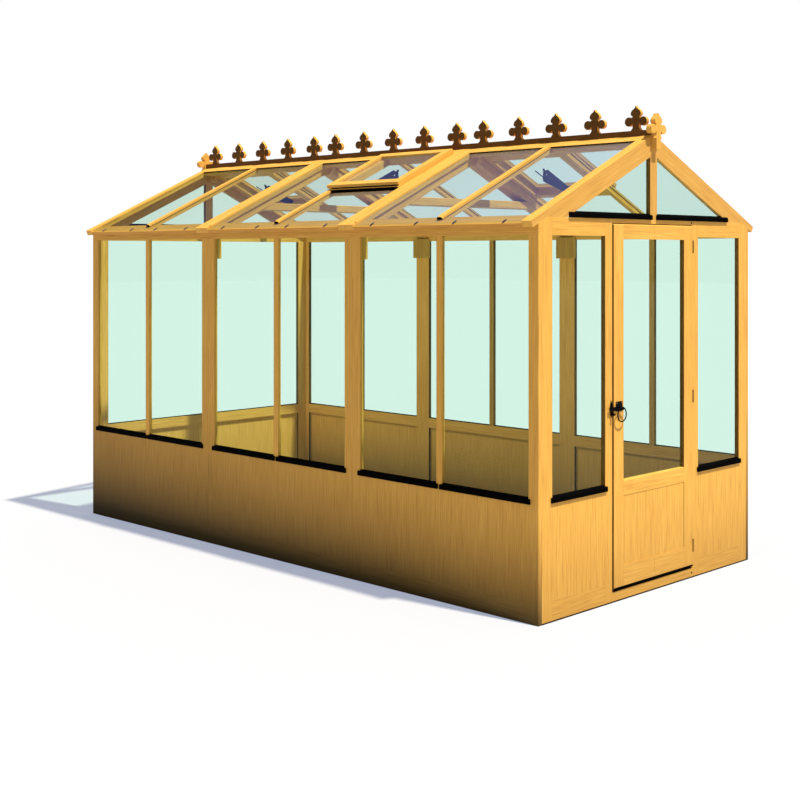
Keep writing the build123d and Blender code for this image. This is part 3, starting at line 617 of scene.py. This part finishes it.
def screw_head(radius, rise):
    """Points of one head: radius * cos(climb) out, rise * sin(climb) up, less the slot's depth."""
    turn = np.linspace(0.0, 2 * math.pi, SCREW_COLUMNS, endpoint=False)
    climb, turn = np.meshgrid(SCREW_CLIMB, turn, indexing="ij")
    out = radius * np.cos(climb)
    x, y = out * np.cos(turn), out * np.sin(turn)
    slot = (np.abs(y) < SLOT_WIDTH_SHARE * radius) & (out < SLOT_REACH_SHARE * radius)
    z = rise * np.sin(climb) - np.where(slot, SLOT_DEPTH_SHARE * rise, 0.0)
    ring = np.stack([x, y, z], axis=-1).reshape(-1, 3)
    return np.vstack([[0.0, 0.0, 0.0], ring, [0.0, 0.0, CROWN_SHARE * rise]])


SCREW_FACES = around(SCREW_RINGS, SCREW_COLUMNS)
GABLE_FRAME = [(1, 0, 0), (0, 0, 1), (0, -1, 0)]
GABLE_SCREW_ACROSS, GABLE_SCREW_HEIGHTS = 0.3445, (0.027, 1.831)
front_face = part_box("front_posts")[0].y
gable_places = [(GABLE_SCREW_ACROSS, front_face, height) for height in GABLE_SCREW_HEIGHTS]
add_fitting("gable_screws", screw_head(radius=0.0055, rise=0.0015), SCREW_FACES, gable_places,
            [GABLE_FRAME] * len(gable_places), black_iron, "house")

plate_low, plate_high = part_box("latch_plate")
PLATE_EDGE = 0.0065
plate_places = [(plate_low.x + PLATE_EDGE, plate_low.y, plate_high.z - PLATE_EDGE),
                (plate_high.x - PLATE_EDGE, plate_low.y, plate_high.z - PLATE_EDGE),
                (plate_high.x - PLATE_EDGE, plate_low.y, plate_low.z + PLATE_EDGE)]
add_fitting("latch_plate_screws", screw_head(radius=0.0035, rise=0.0008), SCREW_FACES, plate_places,
            [GABLE_FRAME] * len(plate_places), zinc, "door")

# %% [markdown]
# ## Strips under the door
#
# The gap under the door shows as a black line of shade, so a black strip stands on the threshold behind
# it as painted shade. Its section is a half ellipse, carried along the threshold, and it ends 2 mm below
# the door, so the door swings clear of it. A smaller half ellipse, turned to face outwards, is a second
# black strip of painted shade at the foot of the door itself, and rides with the door.

# %% Strips on the threshold and the door
STRIP_STEPS, ARCH_POINTS = 9, 13
STRIP_HALF, STRIP_RISE, STRIP_INSET = 0.007, 0.010, 0.001
STRIP_BACK, STRIP_DROP = 0.010, 0.012
FOOT_STRIP_DEPTH, FOOT_STRIP_HALF = 0.0025, 0.004
STRIP_FACES = along_faces(STRIP_STEPS, ARCH_POINTS)
door_low, door_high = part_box("door_stiles")
arch = np.linspace(0.0, math.pi, ARCH_POINTS)
level = np.zeros(ARCH_POINTS)
strip_section = np.stack([level, STRIP_HALF * np.cos(arch), STRIP_RISE * np.sin(arch)], axis=-1)
strip_path = np.zeros((STRIP_STEPS, 3))
strip_path[:, 0] = np.linspace(door_low.x + STRIP_INSET, door_high.x - STRIP_INSET, STRIP_STEPS)
strip_points = (strip_path[:, None, :] + strip_section[None, :, :]).reshape(-1, 3)
strip_origin = (0.0, front_face + STRIP_BACK, door_low.z - STRIP_DROP)
# Black strips of painted shade: one on the threshold, one at the foot of the door.
add_fitting("threshold_shade_strip", strip_points, STRIP_FACES, [strip_origin], [np.eye(3)],
            black_plastic, "house")
foot_strip_section = np.stack([level, -FOOT_STRIP_DEPTH * np.sin(arch), FOOT_STRIP_HALF + FOOT_STRIP_HALF * np.cos(arch)], axis=-1)
foot_strip_points = (strip_path[:, None, :] + foot_strip_section[None, :, :]).reshape(-1, 3)
add_fitting("door_foot_shade_strip", foot_strip_points, STRIP_FACES, [(0.0, door_low.y, door_low.z)], [np.eye(3)],
            black_plastic, "door")

# %% [markdown]
# ## On the roof
#
# Each slope has a frame of its own: x runs down the slope, z stands out of it, and y runs along the eave
# in the sense that keeps the three right handed on both sides. A fitting is then placed by three plain
# numbers, and the same numbers serve both slopes.

# %% The two slopes
RAFTER_TOP = 0.032
BAY = 1.22


def slope_frame(side):
    """Axes of one slope: down it, along the eave and out of it, for side -1 or 1."""
    return np.array([(side * math.cos(PITCH), 0, -math.sin(PITCH)), (0, side, 0),
                     (side * math.sin(PITCH), 0, math.cos(PITCH))])


def slope_places(down, alongs, out):
    """Origins and frames for one place down the slope, at each place along it, on both sides."""
    origins, frames = [], []
    for side in (-1, 1):
        axes = slope_frame(side)
        for along in alongs:
            origins.append(np.array([0, along, APEX]) + down * axes[0] + out * axes[2])
            frames.append(axes)
    return origins, frames


# %% [markdown]
# ## Roof trusses
#
# Through the glass, an A-shaped truss shows under each joint of the roof: two boards side by side below
# the rafters of each slope, and level collar ties between them. A board is a rectangle with chamfered
# edges carried along its length. Both of its ends are cut at an angle, so the place along the board
# depends on the height within the section. That one function gives the plumb cuts of the rafters and
# the sloping cuts of the ties.

# %% Trusses
TRUSS_DEPTH, TRUSS_SEAT = 0.044, -0.0003
BOARD_HALF, BOARD_STEP, BOARD_CHAMFER = 0.024, 0.026, 0.003
RIDGE_CUT, WALL_CUT = 0.0125, 0.884
TIE_LOW, TIE_HIGH = 1.932, 1.976
RISE = math.tan(PITCH)
BOARD_STEPS, BOARD_CORNERS = 2, 8


def board(low, high, start, stop, lean_start, lean_stop):
    """Points of a chamfered board: its section's heights run from low to high, its ends lean with height.

    A point at height z lies at a share of the way from start + lean_start * z to stop + lean_stop * z.
    """
    y = BOARD_HALF * np.array([-1, -1, 1, 1, 1, 1, -1, -1])
    inset = BOARD_CHAMFER * np.array([0, 1, -1, 0, 0, -1, 1, 0])
    z = np.array([high, high, high, high, low, low, low, low])
    drop = BOARD_CHAMFER * np.array([-1, 0, 0, -1, 1, 0, 0, 1])
    y, z = (y + inset)[::-1], (z + drop)[::-1]
    share = np.linspace(0.0, 1.0, BOARD_STEPS)[:, None]
    x = (start + lean_start * z) * (1 - share) + (stop + lean_stop * z) * share
    return np.stack([x, np.broadcast_to(y, x.shape), np.broadcast_to(z, x.shape)], axis=-1).reshape(-1, 3)


BOARD_FACES = along_faces(BOARD_STEPS, BOARD_CORNERS)
joint_boards = [joint + turn * BOARD_STEP for joint in (-BAY / 2, BAY / 2) for turn in (-1, 1)]
origins, frames = slope_places(0.0, joint_boards, 0.0)
truss_rafter = board(-TRUSS_DEPTH, TRUSS_SEAT, RIDGE_CUT / math.cos(PITCH), WALL_CUT / math.cos(PITCH),
                     -RISE, -RISE)
add_fitting("truss_rafters", truss_rafter, BOARD_FACES, origins, frames, slope_wood, "house")
tie_reach = (APEX - TRUSS_DEPTH / math.cos(PITCH)) / RISE
collar_tie = board(TIE_LOW, TIE_HIGH, -tie_reach, tie_reach, 1 / RISE, -1 / RISE)
tie_places = [(0.0, along, 0.0) for along in joint_boards]
add_fitting("truss_collar_ties", collar_tie, BOARD_FACES, tie_places, [np.eye(3)] * len(tie_places),
            cross_wood, "house")

# %% [markdown]
# ## Screws and clips on the roof
#
# Black screws hold the foot of one rafter of each pair. Bent clips stop each pane from sliding off the eave
# rail: a flat strip lies on the glass, steps down over its edge and lies on the wood. A strip could be
# bent by a modifier, but a smooth step in its height gives the same bend with a few points.

# %% Rafter screws
RAFTER_SCREW_ASIDE, RAFTER_SCREW_BACK = 0.051, 0.03
rafter_alongs = [-BAY / 2 - RAFTER_SCREW_ASIDE, BAY / 2 - RAFTER_SCREW_ASIDE]
origins, frames = slope_places(EAVE - RAFTER_SCREW_BACK, rafter_alongs, RAFTER_TOP)
add_fitting("rafter_screws", screw_head(radius=0.005, rise=0.002), SCREW_FACES, origins, frames,
            black_iron, "house")

# %% Glass clips
PANE_BACK = 0.016
GLASS_HALF = 0.002
CLIP_LAP, CLIP_LENGTH = 0.022, 0.034
CLIP_HALF, CLIP_GAUGE, CLIP_LIFT = 0.0045, 0.0012, 0.0002
CLIP_BEND_AT, CLIP_BEND = 0.003, 0.0015
CLIP_STEPS, CLIP_CORNERS = 17, 4
CLIP_PITCH, CLIP_TIMES = 0.28, (-1.55, -0.45, 0.45, 1.55)


def glass_clip():
    """Points of a bent strip: its height drops by the glass's thickness along a smooth step.

    The path's height is minus half the thickness times (1 + tanh of the distance past the pane's edge).
    A rectangle, the strip's section, is carried along it, four points to a step.
    """
    along = np.linspace(-CLIP_LAP, CLIP_LENGTH - CLIP_LAP, CLIP_STEPS)
    height = GLASS_HALF * (-1 - np.tanh((along - CLIP_BEND_AT) / CLIP_BEND)) + CLIP_LIFT
    section = np.array([(-CLIP_HALF, 0), (CLIP_HALF, 0), (CLIP_HALF, CLIP_GAUGE), (-CLIP_HALF, CLIP_GAUGE)])
    path = np.stack([along, np.zeros(CLIP_STEPS), height], axis=-1)
    carried = np.stack([np.zeros(CLIP_CORNERS), section[:, 0], section[:, 1]], axis=-1)
    return (path[:, None, :] + carried[None, :, :]).reshape(-1, 3)


clip_alongs = [bay * BAY + times * CLIP_PITCH for bay in (-1, 0, 1) for times in CLIP_TIMES]
origins, frames = slope_places(EAVE - PANE_BACK, clip_alongs, GLASS_TOP)
add_fitting("glass_clips", glass_clip(), along_faces(CLIP_STEPS, CLIP_CORNERS), origins, frames,
            navy_steel, "house")

# %% [markdown]
# ## Ends of the glazing bars
#
# Each thin bar runs on a little past the frame's own bar, and a black cap covers its end. The cap is a low
# half superellipse, which is squarer than a half circle, as the bar's rounded section is. It is drawn in as
# it bulges outwards, so it catches the light as a moulded cap does.

# %% Bar noses and end caps
CAP_HALF, CAP_HEIGHT, CAP_BULGE = 0.018, 0.012, 0.004
CAP_STEPS, CAP_CORNERS = 5, 24
CAP_CURVE, CAP_DRAWN_IN = 0.5, 0.7
BAR_BACK = 0.075
NOSE_LENGTH, NOSE_STEPS = 0.015, 2
NOSE_CURVE, NOSE_WIDTH_SHARE = 0.25, 0.99


def bar_end_cap():
    """Points of a shallow cap: a half superellipse over the bar's width, drawn in as it bulges outwards.

    The outline's width follows cos(t)^0.5 and its height sin(t)^0.5, and each step along the cap scales
    it by the square root of (1 - step^2), with steps from 0 to seven tenths.
    """
    t = np.linspace(0.0, math.pi, CAP_CORNERS)
    outline = np.stack([CAP_HALF * np.sign(np.cos(t)) * np.abs(np.cos(t)) ** CAP_CURVE,
                        CAP_HEIGHT * np.sin(t).clip(0) ** CAP_CURVE], axis=-1)
    share = np.linspace(0.0, CAP_DRAWN_IN, CAP_STEPS)
    scaled = outline[None, :, :] * np.sqrt(1 - share ** 2)[:, None, None]
    along = np.repeat((CAP_BULGE * share)[:, None], CAP_CORNERS, axis=1)
    return np.stack([along, scaled[..., 0], scaled[..., 1]], axis=-1).reshape(-1, 3)


bar_stop = EAVE - BAR_BACK
bar_alongs = [-BAY, 0.0, BAY]
nose_turn = np.linspace(0.0, math.pi, CAP_CORNERS)
nose_section = np.stack([NOSE_WIDTH_SHARE * CAP_HALF * np.cos(nose_turn),
                         CAP_HEIGHT * np.sin(nose_turn) ** NOSE_CURVE], axis=-1)
nose = np.zeros((NOSE_STEPS, CAP_CORNERS, 3))
nose[1, :, 0] = NOSE_LENGTH
nose[:, :, 1:] = nose_section
origins, frames = slope_places(bar_stop, bar_alongs, GLASS_TOP)
add_fitting("bar_noses", nose.reshape(-1, 3), along_faces(NOSE_STEPS, CAP_CORNERS), origins, frames,
            slope_wood, "house")
origins, frames = slope_places(bar_stop + NOSE_LENGTH, bar_alongs, GLASS_TOP)
add_fitting("bar_end_caps", bar_end_cap(), along_faces(CAP_STEPS, CAP_CORNERS), origins, frames,
            black_plastic, "house")

# %% [markdown]
# ## Painted shade under the roof vents
#
# Under the lower edge of each shut vent runs a black bead, and below it a black apron turns from the
# curb onto the glass. Both stand for the deep shade under the sash, as painted shade. Both are one
# section carried along the vent, so the dark band under the sash has a depth of its own.

# %% Black beads and aprons under the vents, painted shade
VENTS = [(-1, 0.0), (1, -BAY), (1, BAY)]
CURB_FROM, CURB_TO, CURB_STEPS = 0.018, 0.5525, 9
CURB_STOP, SASH_STOP, CURB_TOP = 0.555, 0.545, 0.042
BEAD_REACH, BEAD_RISE, BEAD_POINTS = 0.0045, 0.006, 8
APRON_TOP, APRON_GAUGE, APRON_LAP, APRON_LIP = 0.0385, 0.002, 0.014, 0.0253
BEND_AT, BEND_HEIGHT, BEND_RADIUS, BEND_POINTS = 0.005, 0.0285, 0.003, 6


def carried_along(section):
    """Points of a section of x and z values, repeated at even steps of y along the curb's length."""
    along = np.linspace(CURB_FROM, CURB_TO, CURB_STEPS)
    points = np.empty((CURB_STEPS, len(section), 3))
    points[:, :, 0] = section[None, :, 0]
    points[:, :, 1] = along[:, None]
    points[:, :, 2] = section[None, :, 1]
    return points.reshape(-1, 3)


vent_frames = [slope_frame(side) for side, centre in VENTS]
vent_origins = [np.array([0, 0, APEX]) + centre * axes[1]
                for (side, centre), axes in zip(VENTS, vent_frames)]
arc = np.linspace(QUARTER, 0.0, BEAD_POINTS)
bead = np.stack([SASH_STOP + BEAD_REACH * np.cos(arc), CURB_TOP + BEAD_RISE * np.sin(arc)], axis=-1)
bead = np.vstack([[SASH_STOP, CURB_TOP], bead])
add_fitting("vent_shade_beads", carried_along(bead), along_faces(CURB_STEPS, len(bead)), vent_origins,
            vent_frames, black_plastic, "house")
bend = np.linspace(math.pi, 1.5 * math.pi, BEND_POINTS)
fold = np.stack([CURB_STOP + BEND_AT + BEND_RADIUS * np.cos(bend),
                 BEND_HEIGHT + BEND_RADIUS * np.sin(bend)], axis=-1)
shade_apron = np.vstack([[CURB_STOP, GLASS_TOP], [CURB_STOP, APRON_TOP], [CURB_STOP + APRON_GAUGE, APRON_TOP],
                      fold, [CURB_STOP + APRON_LAP, APRON_LIP], [CURB_STOP + APRON_LAP, GLASS_TOP]])
add_fitting("vent_shade_aprons", carried_along(shade_apron), along_faces(CURB_STEPS, len(shade_apron)), vent_origins,
            vent_frames, black_plastic, "house")

# %% [markdown]
# ## Floor
#
# The house stands on a plain pale floor. In the photograph the ground is white in the sun, and its shadows
# are a light, cool grey. White paint under a strong sun would throw too much light back onto the walls. So
# the paint that lights the house is a shade darker, and where the camera looks at it directly, a faint
# glow of its own lifts the shadows.

# %% Studio floor
FLOOR_REACH = 60.0
FLOOR_PAINT, FLOOR_SEEN, FLOOR_GLOW = "#B9BAC0", "#9E9A8F", "#909AB2"
FLOOR_ROUGHNESS = 0.9
floor_mesh = bpy.data.meshes.new("studio floor")
corners = FLOOR_REACH * np.array([(-1, -1, 0), (1, -1, 0), (1, 1, 0), (-1, 1, 0)])
floor_mesh.from_pydata(corners.tolist(), [], [(0, 1, 2, 3)])
floor = bpy.data.objects.new("studio_floor", floor_mesh)
bpy.context.scene.collection.objects.link(floor)
floor_paint, floor_tree, floor_surface = new_material("matt white floor paint")[:3]
seen = add_node(floor_tree, "LightPath").outputs["Is Camera Ray"]
tones = {"data_type": "RGBA", 6: linear(FLOOR_PAINT), 7: linear(FLOOR_SEEN)}
floor_tone = add_node(floor_tree, "Mix", tones, {0: seen}).outputs[2]
floor_tree.links.new(floor_tone, floor_surface.inputs["Base Color"])
floor_surface.inputs["Roughness"].default_value = FLOOR_ROUGHNESS
floor_surface.inputs["Emission Color"].default_value = linear(FLOOR_GLOW)
floor_tree.links.new(seen, floor_surface.inputs["Emission Strength"])
floor_mesh.materials.append(floor_paint)
print("floor", 2 * FLOOR_REACH, "m wide")

# %% [markdown]
# ## Light
#
# A high sun in front of the door lights the gable and the roof, and leaves the long left wall in shade,
# as in the photograph. A pale sky fills the shadows. The inside of the right wall lies in the shade of
# the house, so a second, weaker sun is linked to that wall alone, the way a photographer shields a fill
# light from the rest of the set. A brighter sky would do the same, but would wash out the left wall too.

# %% Suns and sky
SUN_FROM, SUN_ENERGY, SUN_ANGLE, SUN_COLOUR = (0.058, -0.411, 0.904), 6.0, math.radians(2), "#FFFCF6"
FILL_FROM, FILL_ENERGY, FILL_ANGLE, FILL_COLOUR = (-0.555, 0.5, 0.667), 1.6, math.radians(4), "#FFEFE4"
FILL_PIECES = ["right_wall_posts", "right_wall_rails", "right_wall_panels"]
SKY_COLOUR = "#FFFFFF"
SKY_POWER, SKY_SEEN = 0.38, 1.0


def add_sun(name, comes_from, energy, angle, colour):
    """Add a sun that shines from a direction: tilted off upright by acos(z / length), turned by atan2."""
    lamp = bpy.data.lights.new(name, "SUN")
    lamp.energy = energy
    lamp.angle = angle
    lamp.color = linear(colour)[:3]
    made = bpy.data.objects.new(name, lamp)
    bpy.context.scene.collection.objects.link(made)
    tilt = math.acos(comes_from[2] / math.dist((0, 0, 0), comes_from))
    made.rotation_euler = (tilt, 0.0, math.atan2(comes_from[0], -comes_from[1]))
    return made


sun = add_sun("key_sun", SUN_FROM, SUN_ENERGY, SUN_ANGLE, SUN_COLOUR)
fill = add_sun("fill_light", FILL_FROM, FILL_ENERGY, FILL_ANGLE, FILL_COLOUR)
inner_wall = bpy.data.collections.new("inner wall")
for name in FILL_PIECES:
    inner_wall.objects.link(pieces[name])
fill.light_linking.receiver_collection = inner_wall
fill.light_linking.blocker_collection = inner_wall
world = bpy.data.worlds.new("studio sky")
bpy.context.scene.world = world
world.use_nodes = True
sky = world.node_tree.nodes["Background"]
sky.inputs["Color"].default_value = linear(SKY_COLOUR)
seen = add_node(world.node_tree, "LightPath").outputs["Is Camera Ray"]
power = add_node(world.node_tree, "MapRange", {"To Min": SKY_POWER, "To Max": SKY_SEEN}, {"Value": seen})
world.node_tree.links.new(power.outputs["Result"], sky.inputs["Strength"])
print(sun.name, "and", fill.name, "set under the sky")

# %% [markdown]
# ## Camera
#
# The camera stands at eye height and looks level. Tilting it down would make the upright lines lean
# together, so its picture is shifted down instead, as an architectural photographer does.

# %% Photo camera
FRAME_PX = 800
FOCAL_PX = 1314.66
HORIZON_PX = 253.76
SENSOR_MM = 36.0
EYE = (-5.532, -5.539, 1.672)
HEADING = math.radians(45.239)
FARTHEST = 500.0
camera_data = bpy.data.cameras.new("photo camera")
camera_data.sensor_width = SENSOR_MM
camera_data.lens = SENSOR_MM * FOCAL_PX / FRAME_PX
camera_data.shift_y = -(FRAME_PX / 2 - HORIZON_PX) / FRAME_PX
camera_data.clip_end = FARTHEST
camera = bpy.data.objects.new("photo_camera", camera_data)
camera.location = EYE
camera.rotation_euler = (QUARTER, 0.0, -HEADING)
bpy.context.scene.collection.objects.link(camera)
bpy.context.scene.camera = camera
bpy.context.scene.view_settings.view_transform = "Standard"
print("camera with a lens of", round(camera_data.lens, 1), "mm set")
